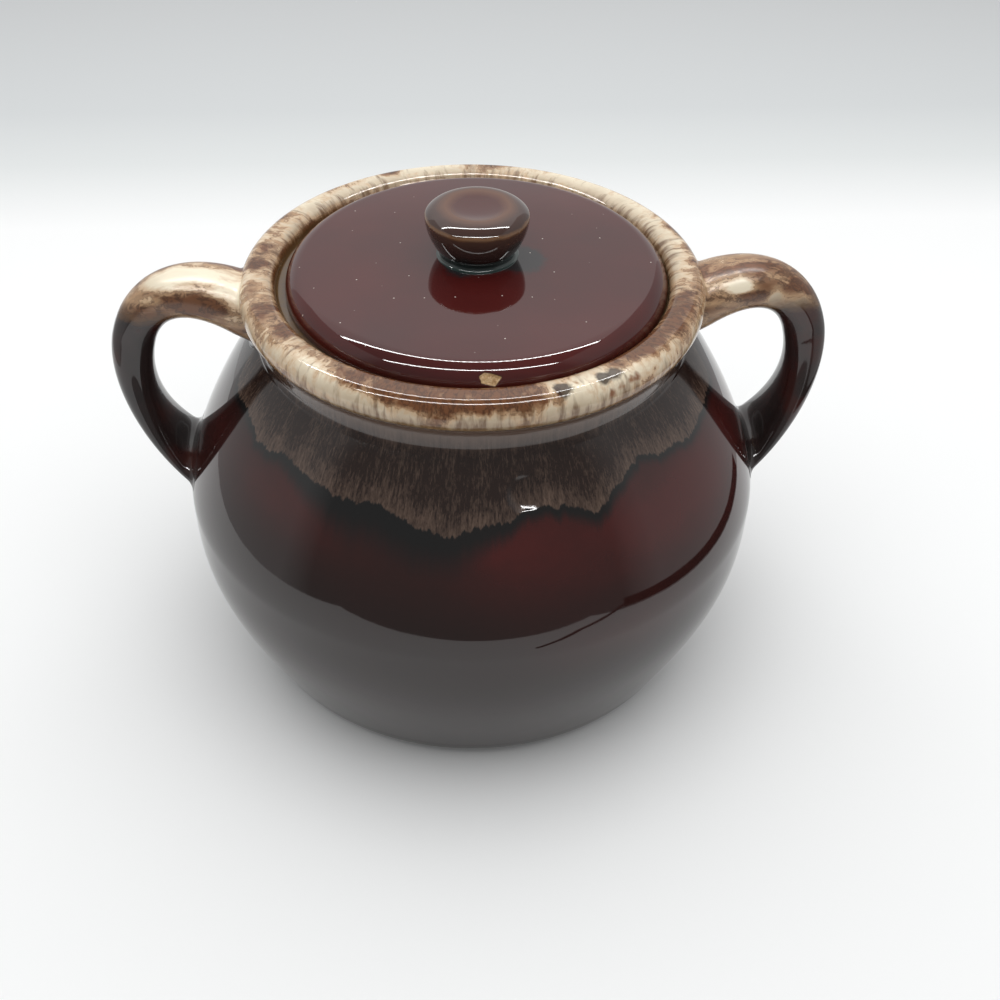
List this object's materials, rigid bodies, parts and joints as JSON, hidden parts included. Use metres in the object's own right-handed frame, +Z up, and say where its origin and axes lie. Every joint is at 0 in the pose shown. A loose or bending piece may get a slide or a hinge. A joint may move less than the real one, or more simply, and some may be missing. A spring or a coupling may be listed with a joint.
{
  "type": "stoneware bean pot",
  "caption": "Round-bellied glazed stoneware bean pot with a rolled collar, an arched handle on each side, and a loose lift-off lid with a knob.",
  "frame": {"origin": "on the pot's axis, at the level of the surface that the foot ring stands on", "axes": "+Z up along the pot's axis, +X towards the right handle with the left handle on -X, +Y towards the back"},
  "size_m": [0.2288, 0.19, 0.161],
  "materials": {
    "body_glaze": "gloss brown glaze under a cream drip glaze at the collar",
    "handle_glaze": "gloss glaze, cream and tan on top and brown below",
    "lid_glaze": "gloss brown glaze",
    "knob_glaze": "gloss brown glaze"
  },
  "bodies": {
    "pot": {"pot_body": "body_glaze", "handle_left": "handle_glaze", "handle_right": "handle_glaze"},
    "lid": {"lid_disc": "lid_glaze", "lid_knob": "knob_glaze"}
  },
  "joints": [
    {"name": "lid_lift", "type": "slide", "parent": "pot", "child": "lid", "axis": [0, 0, 1], "range_m": [0, 0.09]}
  ]
}
